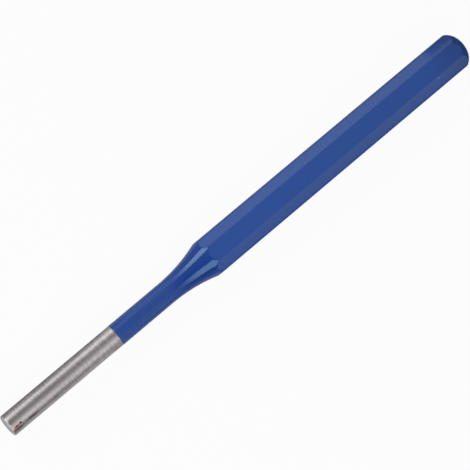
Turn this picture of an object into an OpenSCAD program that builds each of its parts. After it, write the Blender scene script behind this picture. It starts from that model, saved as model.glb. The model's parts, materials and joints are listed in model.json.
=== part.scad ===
// Octagonal pin punch, lying along X on one of its flats with the tip towards -X.
// One steel bar is octagonal at the grip and is turned down through a hollow neck to a round pin.
// A film of lacquer covers it from the head to part of the way down the pin.

/* [Bar] */
// Length of the steel bar from tip to head
bar_length = 150; // [120:1:200]
// Width of the steel bar across opposite flats
across_flats = 9.75; // [9:0.05:13]
// Depth by which each ridge between two flats is eased from a sharp corner
ridge_easing = 0.1; // [0.02:0.01:0.2]

/* [Pin] */
// Diameter of the ground pin
pin_diameter = 5.75; // [4:0.05:7]
// Straight length of the pin, from the tip to the start of the neck
pin_length = 50; // [40:0.5:70]
// Width of the edge break round the tip
tip_break = 0.15; // [0.05:0.05:0.5]

/* [Neck] */
// Radius of the hollow curve that rises from the pin to the flats
neck_radius = 44; // [20:1:80]

/* [Head] */
// Diameter of the flat striking face
face_diameter = 6; // [4:0.1:7]
// Length of the turned rounding, from the striking face back to the ridges
rounding_length = 2.6; // [1.5:0.1:4]
// Radius of that rounding
rounding_radius = 3.7; // [3:0.1:8]

/* [Lacquer] */
// Thickness of the lacquer film
film = 0.05; // [0.03:0.01:0.2]
// Length of the pin left bare, from the tip to the edge of the lacquer
bare_length = 33.6; // [10:0.1:38]

/* [Hidden] */
$fn = 180;

// The octagon
flat_count = 8;
half_turn = 180;
half_side_angle = half_turn / flat_count;
ridge_radius = across_flats / 2 / cos(half_side_angle) - ridge_easing;

// The round end of the bar
pin_radius = pin_diameter / 2;
face_radius = face_diameter / 2;

// Centre of the head's rounding, which runs from the rim of the face to the ridges
rounding_rise = ridge_radius - face_radius;
rounding_chord = norm([rounding_length, rounding_rise]);
rounding_sag = sqrt(pow(rounding_radius, 2) - pow(rounding_chord / 2, 2));
rounding_centre_radius = (face_radius + ridge_radius) / 2 - rounding_sag * rounding_length / rounding_chord;
rounding_centre_height = bar_length - rounding_length / 2 - rounding_sag * rounding_rise / rounding_chord;

// Half section of the turned bar, grown by this much all over, with its neck and head still square
module square_section(grow)
    polygon([
        [0, 0],
        [pin_radius + grow - tip_break, 0],
        [pin_radius + grow, tip_break],
        [pin_radius + grow, pin_length],
        [ridge_radius + grow, pin_length],
        [ridge_radius + grow, bar_length + grow],
        [0, bar_length + grow],
    ]);

// What the neck's hollow curve takes from the half section
module neck_cut(grow)
    translate([pin_radius + neck_radius, pin_length])
        intersection() {
            circle(neck_radius - grow);
            translate([-neck_radius, 0])
                square([2 * neck_radius, neck_radius]);
        }

// What the rounding takes from the corner of the half section at the head
module head_cut(grow)
    translate([rounding_centre_radius, rounding_centre_height])
        difference() {
            square(2 * rounding_radius);
            circle(rounding_radius + grow);
        }

// The punch standing on its tip, grown by this much all over but the tip.
// The flats run out on the turned neck and head, which leaves a scallop at the end of each.
module punch(grow)
    intersection() {
        rotate_extrude()
            difference() {
                square_section(grow);
                neck_cut(grow);
                head_cut(grow);
            }
        rotate(half_side_angle)
            cylinder(
                h = bar_length + grow,
                r = (across_flats / 2 + grow) / cos(half_side_angle),
                $fn = flat_count
            );
    }

// Everything behind the edge of the lacquer
module behind_lacquer_edge()
    translate([0, 0, bare_length])
        cylinder(h = bar_length, r = across_flats);

// Lays the standing punch along X, on the lacquer of one flat, with its middle over the origin
module lay_down()
    translate([-(bar_length + film) / 2, 0, across_flats / 2 + film])
        rotate([0, half_turn / 2, 0])
            children();

module steel_bar()
    color("silver")
        lay_down()
            punch(0);

module lacquer_coat()
    color("royalblue")
        lay_down()
            difference() {
                intersection() {
                    punch(film);
                    behind_lacquer_edge();
                }
                punch(0);
            }

steel_bar();
lacquer_coat();
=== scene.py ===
# %% [markdown]
# # A pin punch in blue lacquer
# A pin punch drives a pin out of its hole: the round pin goes in after it, and a hammer strikes the head.
# It is one bar of tool steel, turned down at one end, with a coat of lacquer on all but its working end.
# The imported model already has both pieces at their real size, so it is loaded first and never moved.
# Everything below is in metres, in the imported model's own frame: X runs from the tip to the head, Z is up.

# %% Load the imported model
import json
import math

import bpy
import numpy as np
from mathutils import Matrix, Vector


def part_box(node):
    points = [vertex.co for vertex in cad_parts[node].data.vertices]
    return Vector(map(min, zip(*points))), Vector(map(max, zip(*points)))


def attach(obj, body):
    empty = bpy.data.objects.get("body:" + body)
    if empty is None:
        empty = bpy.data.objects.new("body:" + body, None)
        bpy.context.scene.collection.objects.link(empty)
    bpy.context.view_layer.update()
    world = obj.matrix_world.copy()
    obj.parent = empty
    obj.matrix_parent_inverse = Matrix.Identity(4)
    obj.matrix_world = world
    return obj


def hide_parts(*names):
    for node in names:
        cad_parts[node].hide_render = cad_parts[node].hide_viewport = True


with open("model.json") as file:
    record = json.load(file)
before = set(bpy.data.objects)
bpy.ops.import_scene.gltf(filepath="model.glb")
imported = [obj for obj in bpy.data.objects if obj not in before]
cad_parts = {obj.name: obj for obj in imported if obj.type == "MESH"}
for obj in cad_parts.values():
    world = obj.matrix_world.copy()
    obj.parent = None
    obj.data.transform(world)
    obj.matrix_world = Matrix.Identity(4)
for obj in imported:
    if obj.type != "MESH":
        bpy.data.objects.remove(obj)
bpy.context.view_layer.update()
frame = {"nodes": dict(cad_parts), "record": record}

print("packed pieces:", sorted(frame["nodes"]))

# %% [markdown]
# ## Sizes of the punch
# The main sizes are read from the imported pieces, so the looks follow the construction.
# A box gives lengths and the width across flats, and the mount named drift_pin gives the pin.
# Roundings don't show in a box, so they have names of their own here, in millimetres.

# %% Read the sizes
MM = 0.001
steel_low, steel_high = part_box("steel_bar")
coat_low, coat_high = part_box("lacquer_coat")
drift_pin = next(mount for mount in frame["record"]["mounts"] if mount["name"] == "drift_pin")

tip_x = steel_low.x
bar_length = steel_high.x - steel_low.x
flat_reach = (steel_high.y - steel_low.y) / 2
axis_height = drift_pin["pos_m"][2]
film = coat_high.x - steel_high.x
bare_length = coat_low.x - steel_low.x
tip_break = 0.15 * MM
pin_radius = drift_pin["dims"]["r_mm"] * MM
pin_length = drift_pin["dims"]["length_mm"] * MM + tip_break
neck_radius = 44 * MM
print(f"bar {bar_length / MM:.2f} mm long, {2 * flat_reach / MM:.2f} mm across flats")
print(f"pin {2 * pin_radius / MM:.2f} mm thick and {pin_length / MM:.2f} mm long")
print(f"bare for {bare_length / MM:.2f} mm, then a film of {film / MM:.3f} mm")

# %% [markdown]
# ## The camera
# The punch is seen from above and a little from the tip's end, with a long lens, so it tapers very little.
# Its axis rises to the right across the square picture. A constraint could aim the camera,
# but it would leave out that roll, so the camera is built from three directions:
# back is the way from the punch to the lens, along is the punch's axis as the picture shows it,
# and across is square to both. Turning along and across in the picture then gives right and up.

# %% Place the camera
PICTURE_SIDE = 470
focal_length_pixels = 2450
sensor_width = 36
view_distance = 597.5 * MM
view_lean = math.radians(16.4)
view_turn = math.radians(1.2)
rise_in_picture = math.radians(40.03)
seen_from_tip = 72.88 * MM
seen_off_axis = 0.057 * MM
nearest_seen = 10 * MM

back = Vector((
    -math.sin(view_lean),
    math.cos(view_lean) * math.sin(view_turn),
    math.cos(view_lean) * math.cos(view_turn),
))
along = (Vector((1, 0, 0)) - back * back.x).normalized()
across = along.cross(back)
right = along * math.cos(rise_in_picture) + across * math.sin(rise_in_picture)
up = along * math.sin(rise_in_picture) - across * math.cos(rise_in_picture)
looked_at = Vector((tip_x + seen_from_tip, 0, axis_height)) - across * seen_off_axis

camera_data = bpy.data.cameras.new("camera")
camera_data.sensor_width = sensor_width
camera_data.lens = focal_length_pixels * sensor_width / PICTURE_SIDE
camera_data.clip_start = nearest_seen
camera = bpy.data.objects.new("camera", camera_data)
camera.matrix_world = Matrix.Translation(looked_at + back * view_distance) @ Matrix((
    (right.x, up.x, back.x, 0),
    (right.y, up.y, back.y, 0),
    (right.z, up.z, back.z, 0),
    (0, 0, 0, 1),
))
bpy.context.scene.collection.objects.link(camera)
bpy.context.scene.camera = camera
print(f"lens {camera_data.lens:.0f} mm, {view_distance / MM:.0f} mm away")

# %% [markdown]
# ## The octagon
# The grip is drawn bar with eight flats, and its ridges are rounded by the drawing die and by the lacquer.
# A cylinder with eight sides and a bevel would do, but a formula is easier to blend with the turned ends.
# It gives the distance from the axis in each direction: straight over a flat, and an arc over a ridge.
# The directions are measured from the upper flat and lie closer together on the ridges.

# %% Describe the octagon
FLATS = 8
HALF_SIDE = math.pi / FLATS
ridge_rounding = 1.1 * MM
steps_on_flat = 14
steps_on_ridge = 8


def octagon_radius(directions, reach):
    """How far the octagon lies from the axis in these directions, with flats at this reach."""
    from_flat = np.abs((directions + HALF_SIDE) % (2 * HALF_SIDE) - HALF_SIDE)
    from_ridge = HALF_SIDE - from_flat
    arc_centre = (reach - ridge_rounding) / math.cos(HALF_SIDE)
    half_chord = np.sqrt(np.maximum(ridge_rounding**2 - (arc_centre * np.sin(from_ridge))**2, 0))
    on_ridge = reach * np.tan(from_flat) > (reach - ridge_rounding) * math.tan(HALF_SIDE)
    return np.where(on_ridge, arc_centre * np.cos(from_ridge) + half_chord, reach / np.cos(from_flat))


ridge_start = math.atan((1 - ridge_rounding / flat_reach) * math.tan(HALF_SIDE))
one_side = np.concatenate([
    np.linspace(-ridge_start, ridge_start, steps_on_flat, endpoint=False),
    np.linspace(ridge_start, 2 * HALF_SIDE - ridge_start, steps_on_ridge, endpoint=False),
])
directions = np.concatenate([one_side + 2 * HALF_SIDE * side for side in range(FLATS)])
ridge_radius = octagon_radius(np.array([HALF_SIDE]), flat_reach)[0]
print(f"{len(directions)} directions round the bar, ridges {ridge_radius / MM:.3f} mm from the axis")

# %% [markdown]
# ## The turned ends
# A lathe cuts the pin, the hollow neck and the rounded head. Each is a line or an arc of the same section.
# The section is written as stations: a place along the axis, and the radius that the lathe leaves there.
# The lacquer follows the same section a film's thickness further out, so every arc takes a grow value.
# The head's rounding is an arc that leaves the ridges and ends at the flat face that the hammer meets.
# Its two ends and its radius are known, so its centre lies off the middle of the chord between them.
# A smaller arc then eases the rim, so that no edge is left that would chip.

# %% Describe the head
face_radius = 3 * MM
rounding_length = 2.6 * MM
rounding_radius = 3.7 * MM
rim_rounding = 0.4 * MM
steps_on_rounding = 48
steps_on_rim = 8
face_ring_shares = np.array([0.98, 0.8, 0.5, 0.2])

drop = ridge_radius - face_radius
chord = math.hypot(rounding_length, drop)
centre_offset = math.sqrt(rounding_radius**2 - (chord / 2)**2)
rounding_middle = (face_radius + ridge_radius) / 2 - centre_offset * rounding_length / chord
rounding_x = bar_length - rounding_length / 2 - centre_offset * drop / chord


def head_stations(grow):
    """Stations along the head's rounding, its rim and its face."""
    radius = rounding_radius + grow
    rim_x = bar_length + grow - rim_rounding
    rim_start = math.asin((rim_x - rounding_x) / (radius - rim_rounding))
    rim_middle = rounding_middle + (radius - rim_rounding) * math.cos(rim_start)
    arc = np.linspace(0, rim_start, steps_on_rounding)
    rim = np.linspace(rim_start, math.pi / 2, steps_on_rim)[1:]
    face = rim_middle * face_ring_shares
    x = np.concatenate([
        rounding_x + radius * np.sin(arc),
        rim_x + rim_rounding * np.sin(rim),
        np.full(len(face), rim_x + rim_rounding),
    ])
    r = np.concatenate([
        rounding_middle + radius * np.cos(arc),
        rim_middle + rim_rounding * np.cos(rim),
        face,
    ])
    return x, r


print(f"rounding starts {(bar_length - rounding_x) / MM:.2f} mm before the striking face")

# %% [markdown]
# The pin is straight, and the neck is an arc that leaves it without a step.
# The arc is hollow, so there the film makes its radius smaller.
# Past the neck the radius stays as large as the head's rounding. The octagon lies inside it,
# so the lathe doesn't touch the grip.

# %% Describe the neck
longest_rise_share = 0.6  # of the arc's radius, where the arc is well past the ridges


def turned_radius(x, grow):
    """Radius left by the lathe between the tip and the head's rounding."""
    rise = np.clip(x - pin_length, 0, longest_rise_share * neck_radius)
    hollow = pin_radius + neck_radius - np.sqrt((neck_radius - grow)**2 - rise**2)
    pin_and_neck = np.where(x > pin_length, hollow, pin_radius + grow)
    return np.minimum(pin_and_neck, rounding_middle + rounding_radius + grow)


neck_top = pin_length + math.sqrt(neck_radius**2 - (neck_radius - ridge_radius + pin_radius)**2)
print(f"the neck ends {neck_top / MM:.2f} mm from the tip")

# %% [markdown]
# ## Where the flats run out
# At the neck and at the head each flat runs out on the turned surface, and their edge is a scallop.
# A boolean would cut that edge hard, and its thin triangles would shade badly.
# Instead the smaller of the two radii is taken, with a soft change between them, as lacquer leaves it.
# The stations lie closest where the scallops are.

# %% Join the octagon and the turned ends
scallop_softness = 0.07 * MM


def soft_min(a, b):
    """The smaller of two radii, rounded off where they are nearly equal."""
    share = np.clip(0.5 + 0.5 * (b - a) / scallop_softness, 0, 1)
    return b + (a - b) * share - scallop_softness * share * (1 - share)


def bar_radius(turned, grow):
    """Radius of the whole bar: a row for each station and a column for each direction."""
    return soft_min(turned[:, None], octagon_radius(directions, flat_reach + grow)[None, :])


scallops_before_top = 3 * MM
scallops_past_top = 1 * MM
steps_below_scallops = 44
steps_on_scallops = 56
steps_on_grip = 17

scallops_start = neck_top - scallops_before_top
scallops_end = neck_top + scallops_past_top
neck_steps = np.concatenate([
    np.linspace(pin_length, scallops_start, steps_below_scallops, endpoint=False),
    np.linspace(scallops_start, scallops_end, steps_on_scallops, endpoint=False),
])
grip_steps = np.linspace(scallops_end, rounding_x, steps_on_grip)[:-1]
print(len(neck_steps), "stations on the neck,", len(grip_steps), "on the grip")

# %% [markdown]
# ## Skin over the stations
# Both pieces are lofts: a ring of points for each station, joined by quads and closed by a fan at each end.
# Blender could spin a profile, but a spin can't hold an octagon that turns into a circle.
# The quads run along and round the bar, so smooth shading has nothing to trip over.
# Their corners go round anticlockwise as seen from outside, so every face looks outwards.

# %% Make a loft
def loft(name, x, radius):
    """A closed mesh. x and radius have a row for each ring and a column for each direction."""
    rings, columns = radius.shape
    points = np.stack([
        tip_x + x,
        radius * np.sin(directions),
        axis_height + radius * np.cos(directions),
    ], axis=-1).reshape(-1, 3)
    ends = [(tip_x + x[0].mean(), 0, axis_height), (tip_x + x[-1].mean(), 0, axis_height)]
    first, last = len(points), len(points) + 1
    faces = []
    for column in range(columns):
        beside = (column + 1) % columns
        faces.append((first, column, beside))
        for ring in range(rings - 1):
            a, b = ring * columns, (ring + 1) * columns
            faces.append((a + column, b + column, b + beside, a + beside))
        faces.append((last, (rings - 1) * columns + beside, (rings - 1) * columns + column))
    mesh = bpy.data.meshes.new(name)
    mesh.from_pydata(points.tolist() + ends, [], faces)
    mesh.shade_smooth()
    piece = bpy.data.objects.new(name, mesh)
    bpy.context.scene.collection.objects.link(piece)
    print(name, "has", len(mesh.vertices), "points and", len(mesh.polygons), "faces")
    return piece


def all_round(x):
    """Places along the axis, repeated for each direction."""
    return np.repeat(x[:, None], len(directions), axis=1)


print("a ring of a loft has", len(directions), "points")

# %% [markdown]
# ## The steel bar
# The bar is whole under the lacquer, because the real one is. Its tip is faced flat, with a broken edge.
# The pin is straight, so its stations can lie far apart.

# %% Make the steel bar
steps_on_tip = 7
steps_on_pin = 34

tip_arc = np.linspace(math.pi / 2, 0, steps_on_tip)
tip_x_steps = np.concatenate([np.zeros(len(face_ring_shares)), tip_break * (1 - np.sin(tip_arc))])
tip_radius = np.concatenate([
    (pin_radius - tip_break) * face_ring_shares[::-1],
    pin_radius - tip_break * (1 - np.cos(tip_arc)),
])
pin_steps = np.linspace(tip_break, pin_length, steps_on_pin)[1:-1]
shaft_steps = np.concatenate([pin_steps, neck_steps, grip_steps])
head_x, head_radius = head_stations(0)

steel_x = np.concatenate([tip_x_steps, shaft_steps, head_x])
steel_turned = np.concatenate([tip_radius, turned_radius(shaft_steps, 0), head_radius])
steel_radius = bar_radius(steel_turned, 0)
steel_piece = loft("ground_steel_bar", all_round(steel_x), steel_radius)
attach(steel_piece, "root")
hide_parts("steel_bar")

# %% [markdown]
# ## The lacquer coat
# The bar was dipped, so the lacquer's edge leans a little, and the film thins to nothing there
# behind a slight bead. A bump could draw that line, but real height catches the light from every side.
# The edge only shifts the stations next to it, and the shift fades out along the pin.

# %% Describe the lacquer's edge
edge_lean = 0.42 * MM
edge_wave = 0.03 * MM
waves_round = 3
wave_turn = 1
lip_length = 0.08 * MM
bead_height = 0.015 * MM
bead_place = 0.35 * MM
settles_after = 8 * MM
steps_on_painted_pin = 8

lip_steps = lip_length * np.array([0, 0.0625, 0.1875, 0.375, 0.625, 1])
bead_steps = np.array([0.15, 0.25, 0.35, 0.5, 0.7, 1, 1.5, 2.5, 4, 6]) * MM
coat_steps = np.concatenate([
    bare_length + lip_steps,
    bare_length + bead_steps,
    np.linspace(bare_length + settles_after, pin_length, steps_on_painted_pin)[:-1],
    neck_steps,
    grip_steps,
])
distance = np.minimum(coat_steps - bare_length, settles_after)
lip = np.sqrt(1 - (1 - np.minimum(distance / lip_length, 1))**2)
bead = bead_height * np.exp(-((distance - bead_place) / bead_place)**2) * lip
edge_line = edge_lean * (1 - np.cos(directions)) + edge_wave * np.sin(waves_round * directions + wave_turn)
coat_x = coat_steps[:, None] + (1 - distance / settles_after)[:, None] * edge_line[None, :]
print(f"the edge lies up to {edge_line.max() / MM:.2f} mm further on underneath")

# %% [markdown]
# The coat is a thin shell. Its loft starts at the middle of the head, runs along the steel
# to the lacquer's edge, turns round there and comes back a film's thickness further out.
# A Solidify modifier could thicken a skin over the steel, but it would leave the edge square.

# %% Make the lacquer coat
outer_head_x, outer_head_radius = head_stations(film)
outer_x = np.concatenate([coat_x, all_round(outer_head_x)])
outer_film = turned_radius(coat_steps, film) + bead - film * (1 - lip)
outer_radius = bar_radius(np.concatenate([outer_film, outer_head_radius]), film)

inner_x = np.concatenate([coat_x, all_round(head_x)])
inner_radius = bar_radius(np.concatenate([turned_radius(coat_steps, 0), head_radius]), 0)
coat_piece = loft(
    "blue_lacquer_coat",
    np.concatenate([inner_x[:0:-1], outer_x]),
    np.concatenate([inner_radius[:0:-1], outer_radius]),
)
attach(coat_piece, "root")
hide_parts("lacquer_coat")

# %% [markdown]
# ## Colours and nodes
# Colours are written as sRGB hex values, as a picture editor shows them. Shaders work in linear light,
# so one function turns one into the other. A second adds a node, fills its sockets and links them.
# A third starts an empty material on a piece. The settings that many nodes share have names too.

# %% Write the helpers
SMOOTH = {"interpolation_type": "SMOOTHSTEP"}
MIX_COLOURS = {"data_type": "RGBA"}
MIX_NUMBERS = {"data_type": "FLOAT"}


def linear(hex_colour):
    """An sRGB hex value as linear red, green, blue and alpha."""
    shares = [int(hex_colour[i:i + 2], 16) / 255 for i in (1, 3, 5)]
    return [s / 12.92 if s <= 0.04045 else ((s + 0.055) / 1.055)**2.4 for s in shares] + [1.0]


def add(tree, kind, settings=None, sockets=None):
    """Adds a node. A socket's value is a plain value, or the output that it is linked to."""
    node = tree.nodes.new(kind)
    for name, value in (settings or {}).items():
        setattr(node, name, value)
    for name, value in (sockets or {}).items():
        if isinstance(value, bpy.types.NodeSocket):
            tree.links.new(value, node.inputs[name])
        else:
            node.inputs[name].default_value = value
    return node


def new_material(name, piece):
    """An empty material, put on a piece."""
    material = bpy.data.materials.new(name)
    material.use_nodes = True
    material.node_tree.nodes.clear()
    piece.data.materials.clear()
    piece.data.materials.append(material)
    return material.node_tree


print("middle grey #808080 is", round(linear("#808080")[0], 3), "in linear light")

# %% [markdown]
# ## Blue enamel
# The coat is an air-drying enamel that the bar was dipped in, a resin full of pigment.
# On the pin and the neck the blue is darker, as painted shade for the dimmer light there.
# Over the last stretch at the head a deeper blue is painted shade where the light falls off. Ramps along the
# bar mix these blues.
# One flat colour would look printed, so a soft noise adds the faint clouds of an uneven film.

# %% Mix the blues of the enamel
enamel_blue = "#234ba2"
enamel_deep_blue = "#20479e"
# painted shade: a darker blue for the pin and the neck
enamel_pin_shade_blue = "#1f4396"
# painted shade: a deeper blue for the head end
enamel_head_shade_blue = "#1d3d8b"
cloud_width = 9 * MM
head_shade_length = 14 * MM

enamel = new_material("dipped_blue_enamel", coat_piece)
place = add(enamel, "ShaderNodeTexCoord")
clouds = add(enamel, "ShaderNodeTexNoise", None, {
    "Vector": place.outputs["Object"], "Scale": 1 / cloud_width, "Detail": 2})
clouded = add(enamel, "ShaderNodeMix", MIX_COLOURS, {
    0: clouds.outputs[0], 6: linear(enamel_deep_blue), 7: linear(enamel_blue)})
place_parts = add(enamel, "ShaderNodeSeparateXYZ", None, {0: place.outputs["Object"]})
full = add(enamel, "ShaderNodeMapRange", SMOOTH, {
    "Value": place_parts.outputs[0],
    "From Min": tip_x + scallops_start, "From Max": tip_x + scallops_end})
# the pin and the neck take the darker blue of painted shade
pin_shaded = add(enamel, "ShaderNodeMix", MIX_COLOURS, {
    0: full.outputs[0], 6: linear(enamel_pin_shade_blue), 7: clouded.outputs[2]})
# the head end takes the deeper blue of painted shade
head_shade = add(enamel, "ShaderNodeMapRange", SMOOTH, {
    "Value": place_parts.outputs[0], "From Min": coat_high.x - head_shade_length, "From Max": coat_high.x})
coated = add(enamel, "ShaderNodeMix", MIX_COLOURS, {
    0: head_shade.outputs[0], 6: pin_shaded.outputs[2], 7: linear(enamel_head_shade_blue)})
print(f"blue deepens over the last {head_shade_length / MM:.0f} mm")

# %% [markdown]
# The enamel flowed out before it dried, which leaves a gloss with a faint orange peel
# about a millimetre and a half wide. A coat layer over a matt base could give the gloss too,
# but this paint has no clear layer. It is no metal, and its IOR is that of a resin.
# The eye gets a calm deep blue, clear streaks from the lamps on the neck, and soft shine on the flats.
# Blue pigment right under the surface cools the reflections a little, which the specular tint stands for.

# %% Give the enamel its gloss
enamel_tint = "#d4fcff"
enamel_ior = 1.5
enamel_roughness = 0.13
roughness_change = 0.02
peel_width = 1.5 * MM
peel_height = 0.0015 * MM

peel = add(enamel, "ShaderNodeTexNoise", None, {
    "Vector": place.outputs["Object"], "Scale": 1 / peel_width, "Detail": 1})
flow = add(enamel, "ShaderNodeBump", None, {
    "Height": peel.outputs[0], "Strength": 1.0, "Distance": peel_height})
shine = add(enamel, "ShaderNodeMapRange", None, {
    "Value": clouds.outputs[0],
    "To Min": enamel_roughness - roughness_change, "To Max": enamel_roughness + roughness_change})
enamel_shader = add(enamel, "ShaderNodeBsdfPrincipled", None, {
    "Roughness": shine.outputs[0], "IOR": enamel_ior,
    "Specular Tint": linear(enamel_tint), "Normal": flow.outputs[0]})
add(enamel, "ShaderNodeOutputMaterial", None, {"Surface": enamel_shader.outputs[0]})
print("enamel nodes:", len(enamel.nodes))

# %% [markdown]
# One speck of dust dried into the enamel on a flat near the head and left a pale fleck.
# It is a soft spot round one point of the surface, mixed over the blue.
# That flat leans by an eighth of a turn, so its points have a height and a distance aside
# that add up to the flat's reach times the root of two.

# %% Add the fleck
fleck_from_tip = 138.5 * MM
fleck_aside = 2.6 * MM
fleck_radius = 0.33 * MM
fleck_colour = "#8096dc"
fleck_middle = (
    tip_x + fleck_from_tip,
    -fleck_aside,
    axis_height + (flat_reach + film) * math.sqrt(2) - fleck_aside,
)

from_fleck = add(enamel, "ShaderNodeVectorMath", {"operation": "DISTANCE"}, {
    0: place.outputs["Object"], 1: fleck_middle})
fleck = add(enamel, "ShaderNodeMapRange", SMOOTH, {
    "Value": from_fleck.outputs["Value"], "From Max": fleck_radius, "To Min": 1.0, "To Max": 0.0})
flecked = add(enamel, "ShaderNodeMix", MIX_COLOURS, {
    0: fleck.outputs[0], 6: coated.outputs[2], 7: linear(fleck_colour)})
enamel.links.new(flecked.outputs[2], enamel_shader.inputs["Base Color"])
print(f"fleck {fleck_from_tip / MM:.1f} mm from the tip")

# %% [markdown]
# ## Ground tool steel
# The bare pin is hardened carbon steel, ground on a wheel that left fine marks round it.
# Such marks spread a lamp's reflection along the pin and leave it narrow across: the shine is anisotropic.
# Its tangent runs round the bar. A quarter turn would lay the spread along the bar, but the bar moved along
# while it was ground, so the marks run aslant, and the spread is turned by about a third of a turn.
# At a glancing view the marks hide each other, so the pin's edges stay dark: the specular tint does that.
# A picture of ground metal could be laid on it, but a noise squeezed along the bar has no seam.
# Real marks are a few hundredths of a millimetre apart, which is finer than a pixel of the render.
# They are drawn about 0.3 mm apart here, so that they show.
# The eye gets a satin grey with two soft streaks along it and fine marks round it.

# %% Mix the ground steel
steel_grey = "#d6d1d2"
steel_dark_grey = "#7c7778"
steel_edge = "#d0d0d0"
steel_roughness = 0.45
roughness_of_marks = 0.06
steel_spread = 0.55
spread_turn = 0.34
mark_spacing = 0.28 * MM
mark_run = 2 * MM
mark_depth = 0.0045 * MM

ground = new_material("ground_tool_steel", steel_piece)
place = add(ground, "ShaderNodeTexCoord")
stretched = add(ground, "ShaderNodeVectorMath", {"operation": "MULTIPLY"}, {
    0: place.outputs["Object"], 1: (1 / mark_spacing, 1 / mark_run, 1 / mark_run)})
marks = add(ground, "ShaderNodeTexNoise", None, {"Vector": stretched.outputs[0], "Scale": 1.0, "Detail": 2})
grey = add(ground, "ShaderNodeMix", MIX_COLOURS, {
    0: marks.outputs[0], 6: linear(steel_dark_grey), 7: linear(steel_grey)})
dulled = add(ground, "ShaderNodeMapRange", None, {
    "Value": marks.outputs[0],
    "To Min": steel_roughness - roughness_of_marks, "To Max": steel_roughness + roughness_of_marks})
grooves = add(ground, "ShaderNodeBump", None, {
    "Height": marks.outputs[0], "Strength": 1.0, "Distance": mark_depth})
round_bar = add(ground, "ShaderNodeTangent", {"direction_type": "RADIAL", "axis": "X"})
steel_shader = add(ground, "ShaderNodeBsdfPrincipled", None, {
    "Metallic": 1.0, "Roughness": dulled.outputs[0], "Normal": grooves.outputs[0],
    "Specular Tint": linear(steel_edge), "Anisotropic": steel_spread,
    "Anisotropic Rotation": spread_turn, "Tangent": round_bar.outputs[0]})
add(ground, "ShaderNodeOutputMaterial", None, {"Surface": steel_shader.outputs[0]})
print("steel nodes:", len(ground.nodes))

# %% [markdown]
# ## Tarnish, rust and a painted highlight
# Bare carbon steel tarnishes, and it rusts where fingers touched it. The pin grows duller towards the tip,
# while a lighter colour on its end face is a painted highlight. Near the tip are a pit with a short brown
# trail, a brown haze, a mottled patch with a dark rim, and a dull streak. Further up are a smudge and a spot
# at the lacquer.
# They could be painted on a map by hand. Here each is a soft patch round a point of the surface,
# which needs no map, and a little noise makes its edge uneven.

# %% Stain the steel and paint a highlight on its end face
stains_and_face_highlight = {
    # name: mm from the tip, degrees from the top, half length and half width in mm, colour, strength
    "tarnish": (4.0, 0, 30, 14, "#979192", 0.5),
    "haze": (0.6, -18, 2.2, 2.3, "#9a8676", 0.45),
    # painted highlight: a lighter end face, standing in for its bright reflection
    "painted_face_highlight": (0, 0, 0.3, 5, "#dbd6d7", 0.8),
    "mottle": (1.2, -46, 1.6, 0.9, "#5a4c49", 0.6),
    "rim": (0.1, -52, 0.35, 1.2, "#4a4340", 0.6),
    "patch": (2.3, -46, 0.7, 0.4, "#4d3a34", 0.7),
    "streak": (5.7, -39, 2.6, 0.55, "#5d4a52", 0.8),
    "smudge": (12.8, -48, 1.0, 0.4, "#6f6066", 0.6),
    "trail": (1.2, -27, 1.1, 0.35, "#4c2f20", 0.9),
    "pit": (2.4, -25, 0.55, 0.42, "#0d0705", 1.0),
    "spot": (32.9, 7, 0.35, 0.3, "#9a7a4f", 0.8),
}
patch_grain = 0.4 * MM
patch_unevenness = 0.45 * MM
patch_core_share = 0.25
noise_middle = (0.5, 0.5, 0.5)

crumbs = add(ground, "ShaderNodeTexNoise", None, {
    "Vector": place.outputs["Object"], "Scale": 1 / patch_grain, "Detail": 3})
centred = add(ground, "ShaderNodeVectorMath", {"operation": "SUBTRACT"}, {
    0: crumbs.outputs["Color"], 1: noise_middle})
uneven = add(ground, "ShaderNodeVectorMath", {"operation": "MULTIPLY_ADD"}, {
    0: centred.outputs[0], 1: [patch_unevenness] * 3, 2: place.outputs["Object"]})
colour = grey.outputs[2]
for name, (from_tip, angle, half_length, half_width, patch_colour, strength) in stains_and_face_highlight.items():
    turn = math.radians(angle)
    middle = (tip_x + from_tip * MM, pin_radius * math.sin(turn), axis_height + pin_radius * math.cos(turn))
    offset = add(ground, "ShaderNodeVectorMath", {"operation": "SUBTRACT"}, {
        0: uneven.outputs[0], 1: middle})
    scaled = add(ground, "ShaderNodeVectorMath", {"operation": "MULTIPLY"}, {
        0: offset.outputs[0], 1: (1 / (half_length * MM), 1 / (half_width * MM), 1 / (half_width * MM))})
    reach = add(ground, "ShaderNodeVectorMath", {"operation": "LENGTH"}, {0: scaled.outputs[0]})
    patch = add(ground, "ShaderNodeMapRange", SMOOTH, {
        "Value": reach.outputs["Value"], "From Min": patch_core_share, "From Max": 1.0,
        "To Min": strength, "To Max": 0.0})
    patched = add(ground, "ShaderNodeMix", MIX_COLOURS, {
        0: patch.outputs[0], 6: colour, 7: linear(patch_colour)})
    colour = patched.outputs[2]
ground.links.new(colour, steel_shader.inputs["Base Color"])
print("stains:", ", ".join(stains_and_face_highlight))

# %% [markdown]
# ## The floor
# The punch lies on a sweep of pale card, which is lit like the punch and keeps its shadow.
# A plane could be added and scaled, but four corners say outright where a card starts and ends.
# The smaller cards that come later are made by the same function.

# %% Lay the floor
floor_half = 3.0


def add_card(name, x, y, z):
    """A rectangular card on the stage. Each of x, y and z says where it starts and where it ends."""
    corners = [(x[0], y[0], z[0]), (x[1], y[0], z[0]), (x[1], y[1], z[1]), (x[0], y[1], z[1])]
    mesh = bpy.data.meshes.new(name)
    mesh.from_pydata(corners, [], [(0, 1, 2, 3)])
    card = bpy.data.objects.new(name, mesh)
    bpy.context.scene.collection.objects.link(card)
    return card


floor = add_card("floor", (-floor_half, floor_half), (-floor_half, floor_half), (0, 0))
print(f"floor {2 * floor_half:.0f} m square")

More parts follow.
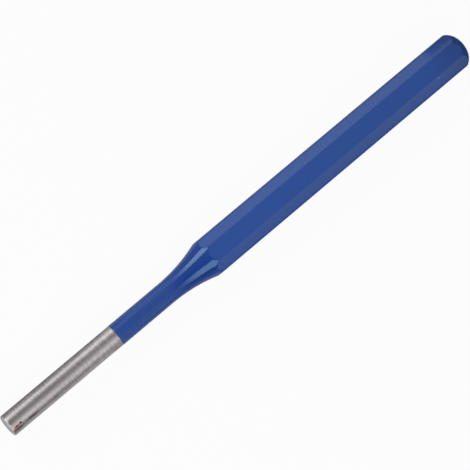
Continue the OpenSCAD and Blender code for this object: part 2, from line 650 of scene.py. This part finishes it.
# %% [markdown]
# A shadow catcher would need a compositor, so the card's own shader makes it white.
# Light Path mixes plain white into it: nearly all that the lens sees is white, as on a bright sweep.
# What steel and gloss mirror gets a share of white too. It is small close to the punch and grows with the
# distance, so near the punch reflections show the card's real shadow, and also a painted shade from the
# smaller share.

# %% Whiten the floor
floor_grey = "#d4d4d4"
white = "#ffffff"
white_seen = 0.95
# mirrored rays see less white near the punch: painted shade round it in reflections
white_near, white_far = 0.15, 0.9
near_side, far_side = 30 * MM, 200 * MM

pale_card = new_material("pale_card", floor)
ray = add(pale_card, "ShaderNodeLightPath")
mirrored = add(pale_card, "ShaderNodeMath", {"operation": "ADD"}, {
    0: ray.outputs["Is Glossy Ray"], 1: ray.outputs["Is Transmission Ray"]})
place = add(pale_card, "ShaderNodeTexCoord")
place_parts = add(pale_card, "ShaderNodeSeparateXYZ", None, {0: place.outputs["Object"]})
aside = add(pale_card, "ShaderNodeMath", {"operation": "ABSOLUTE"}, {0: place_parts.outputs[1]})
white_share = add(pale_card, "ShaderNodeMapRange", SMOOTH, {
    "Value": aside.outputs[0], "From Min": near_side, "From Max": far_side,
    "To Min": white_near, "To Max": white_far})
mirrored_share = add(pale_card, "ShaderNodeMath", {"operation": "MULTIPLY"}, {
    0: mirrored.outputs[0], 1: white_share.outputs[0]})
share = add(pale_card, "ShaderNodeMath", {"operation": "MULTIPLY_ADD"}, {
    0: ray.outputs["Is Camera Ray"], 1: white_seen, 2: mirrored_share.outputs[0]})
lit = add(pale_card, "ShaderNodeBsdfDiffuse", None, {"Color": linear(floor_grey)})
plain = add(pale_card, "ShaderNodeEmission", None, {"Color": linear(white), "Strength": 1.0})
both = add(pale_card, "ShaderNodeMixShader", None, {
    0: share.outputs[0], 1: lit.outputs[0], 2: plain.outputs[0]})
add(pale_card, "ShaderNodeOutputMaterial", None, {"Surface": both.outputs[0]})
print(f"the lens sees {white_seen:.0%} white on the floor")

# %% [markdown]
# ## Cards beside the punch
# Gloss and steel would mirror the white floor along their edges and lose their shape.
# Photographers therefore put dark card beside a shiny thing. Strips lie on both sides of the grip,
# beyond the head and left of the bare pin. Three cards are upright: one on either side of the bare pin,
# for the dark bands beside its streaks, and one past the head, which lets the end of the left flat fade.
# Only reflections see these cards.

# %% Put up the dark cards
left_of_grip = (tip_x + 54 * MM, coat_high.x)
right_of_grip = (tip_x + 48 * MM, coat_high.x)
beyond_head = (coat_high.x + 1 * MM, coat_high.x + 400 * MM)
past_head = (coat_high.x + 14 * MM, coat_high.x + 100 * MM)
beside_pin = (tip_x - 20 * MM, tip_x + bare_length)
left_of_pin = (tip_x - 60 * MM, tip_x + 51 * MM)
right_of_pin = (tip_x - 60 * MM, tip_x + 42 * MM)
on_floor = (0.1 * MM, 0.1 * MM)
dark_cards = {
    # name: stretch along the bar, across it and upwards, grey
    "left_strip": (left_of_grip, (22 * MM, 60 * MM), on_floor, "#808080"),
    "right_strip": (right_of_grip, (-150 * MM, -22 * MM), on_floor, "#808080"),
    "head_strip": (beyond_head, (-150 * MM, 150 * MM), on_floor, "#808080"),
    "pin_strip": (beside_pin, (4 * MM, 60 * MM), on_floor, "#c8c8c8"),
    "pin_left_flag": (left_of_pin, (60 * MM, 60 * MM), (6 * MM, 20 * MM), "#808080"),
    "pin_right_flag": (right_of_pin, (-60 * MM, -60 * MM), (0, 20 * MM), "#606060"),
    "head_flag": (past_head, (60 * MM, 60 * MM), (0, 10 * MM), "#b0b0b0"),
}


def show_only_in_reflections(card):
    """Hides a card from the lens and keeps its shade off the punch and the floor."""
    card.visible_camera = False
    card.visible_diffuse = False
    card.visible_shadow = False


for name, (x, y, z, card_grey) in dark_cards.items():
    card = add_card(name, x, y, z)
    show_only_in_reflections(card)
    dark_card = new_material("dark_card", card)
    matt_grey = add(dark_card, "ShaderNodeBsdfDiffuse", None, {"Color": linear(card_grey)})
    add(dark_card, "ShaderNodeOutputMaterial", None, {"Surface": matt_grey.outputs[0]})
print("dark cards:", ", ".join(dark_cards))

# %% [markdown]
# White cards lie before the tip and to the right of the bare pin, and one hangs over it.
# The end face of the pin looks down on the first and turns pale. The second brightens the pin's right edge,
# and the third fills the dark between its streaks. Again only reflections see them.

# %% Put up the white cards
white_cards = {
    # name: stretch along the bar, across it and upwards
    "tip_card": ((tip_x - 120 * MM, tip_x - 0.5 * MM), (-80 * MM, 80 * MM), on_floor),
    "side_card": ((tip_x, tip_x + bare_length), (-80 * MM, -4 * MM), on_floor),
    "top_card": ((tip_x - 20 * MM, tip_x + 43 * MM), (-25 * MM, -9 * MM), (50 * MM, 50 * MM)),
}
for name, (x, y, z) in white_cards.items():
    card = add_card(name, x, y, z)
    show_only_in_reflections(card)
    white_card = new_material("white_card", card)
    glow = add(white_card, "ShaderNodeEmission", None, {"Color": linear(white), "Strength": 1.0})
    add(white_card, "ShaderNodeOutputMaterial", None, {"Surface": glow.outputs[0]})
print("white cards:", ", ".join(white_cards))

# %% [markdown]
# ## The lamps
# Small lamps would mirror as points. A long softbox hangs on either side, parallel to the bar,
# and mirrors in it as a streak.
# On the neck the streaks fade towards the pin, because the lamps fade towards the head.
# Blender's area lamp has even brightness, so a ramp along it dims that end.

# %% Set the lamps
softboxes = {
    # name: metres along the bar from the neck's end, degrees from straight up, metres away, length, width,
    # brightness beside white, share of it left at the end by the head
    "softbox_left": (-0.125, 55.5, 0.4, 0.45, 0.215, 4.1, 0.13),
    "softbox_right": (-0.125, -43.5, 0.4, 0.45, 0.28, 3.1, 0.05),
}
ramp_start, ramp_end = -0.06, 0.06  # metres along the bar from the neck's end
middle_share = 0.5  # where the middle of a lamp is, as a share of its length

neck_end = Vector((tip_x + neck_top, 0, axis_height))
for name, (lamp_x, angle, away, length, width, brightness, far_share) in softboxes.items():
    lamp_data = bpy.data.lights.new(name, "AREA")
    lamp_data.shape = "RECTANGLE"
    lamp_data.size = length
    lamp_data.size_y = width
    lamp_data.energy = brightness * math.pi * length * width
    lamp_data.use_nodes = True
    lamp_nodes = lamp_data.node_tree
    lamp_nodes.nodes.clear()
    spot = add(lamp_nodes, "ShaderNodeNewGeometry")
    spot_parts = add(lamp_nodes, "ShaderNodeSeparateXYZ", None, {0: spot.outputs["Parametric"]})
    ramp = add(lamp_nodes, "ShaderNodeMapRange", SMOOTH, {
        "Value": spot_parts.outputs[0],
        "From Min": (ramp_start - lamp_x) / length + middle_share,
        "From Max": (ramp_end - lamp_x) / length + middle_share,
        "To Min": 1.0, "To Max": far_share})
    gleam = add(lamp_nodes, "ShaderNodeEmission", None, {"Strength": ramp.outputs[0]})
    add(lamp_nodes, "ShaderNodeOutputLight", None, {"Surface": gleam.outputs[0]})
    lamp = bpy.data.objects.new(name, lamp_data)
    turned = Matrix.Rotation(math.radians(-angle), 4, "X")
    lamp.matrix_world = Matrix.Translation(neck_end) @ turned @ Matrix.Translation((lamp_x, 0, away))
    lamp.visible_camera = False
    bpy.context.scene.collection.objects.link(lamp)
    print(name, f"{length:.2f} m by {width:.2f} m, {lamp_data.energy:.1f} W")

# %% [markdown]
# ## The room
# Around the lamps stands a tent of white cloth.
# The cloth is brightest low down, where the pale card lights it, and most so on the left.
# A picture of a studio could stand for it, but a world shader gives all this by direction alone.

# %% Put up the tent
side_levels = {
    # name: brightness on the right, on the left
    "horizon": (1.3, 1.55),
    "wall": (0.88, 0.7),
    "opening": (0.03, 0.2),
}
roof_level = 0.75
glow_until = 0.5
roof_from, roof_until = 0.7, 0.92
side_change = 0.4

world = bpy.data.worlds.new("studio")
bpy.context.scene.world = world
world.use_nodes = True
room = world.node_tree
room.nodes.clear()
way = add(room, "ShaderNodeTexCoord")
parts = add(room, "ShaderNodeSeparateXYZ", None, {0: way.outputs["Generated"]})
left = add(room, "ShaderNodeMapRange", SMOOTH, {
    "Value": parts.outputs[1], "From Min": -side_change, "From Max": side_change})
sides = {}
for name, (on_right, on_left) in side_levels.items():
    sides[name] = add(room, "ShaderNodeMix", MIX_NUMBERS, {0: left.outputs[0], 2: on_right, 3: on_left})
rise = add(room, "ShaderNodeMapRange", SMOOTH, {
    "Value": parts.outputs[2], "From Min": 0.0, "From Max": glow_until})
low = add(room, "ShaderNodeMix", MIX_NUMBERS, {
    0: rise.outputs[0], 2: sides["horizon"].outputs[0], 3: sides["wall"].outputs[0]})
high = add(room, "ShaderNodeMapRange", SMOOTH, {
    "Value": parts.outputs[2], "From Min": roof_from, "From Max": roof_until})
tent = add(room, "ShaderNodeMix", MIX_NUMBERS, {
    0: high.outputs[0], 2: low.outputs[0], 3: roof_level})
print("levels, right and left:", side_levels)

# %% [markdown]
# The tent is open towards the tip, where the room behind it is dark, and its cloth is in shade
# behind the head. Two ramps along the bar's direction mix that in.

# %% Open and shade the tent
open_until, closed_from = 0.0, 0.32
shade_from, shade_until = 0.32, 0.66
shade_share = 0.2

closed = add(room, "ShaderNodeMapRange", SMOOTH, {
    "Value": parts.outputs[0], "From Min": open_until, "From Max": closed_from})
open_tent = add(room, "ShaderNodeMix", MIX_NUMBERS, {
    0: closed.outputs[0], 2: sides["opening"].outputs[0], 3: tent.outputs[0]})
shade = add(room, "ShaderNodeMapRange", SMOOTH, {
    "Value": parts.outputs[0], "From Min": shade_from, "From Max": shade_until,
    "To Min": 1.0, "To Max": shade_share})
level = add(room, "ShaderNodeMath", {"operation": "MULTIPLY"}, {
    0: open_tent.outputs[0], 1: shade.outputs[0]})
glow = add(room, "ShaderNodeBackground", None, {"Color": linear(white), "Strength": level.outputs[0]})
add(room, "ShaderNodeOutputWorld", None, {"Surface": glow.outputs[0]})

bpy.context.scene.view_settings.view_transform = "Standard"
print("room nodes:", len(room.nodes))
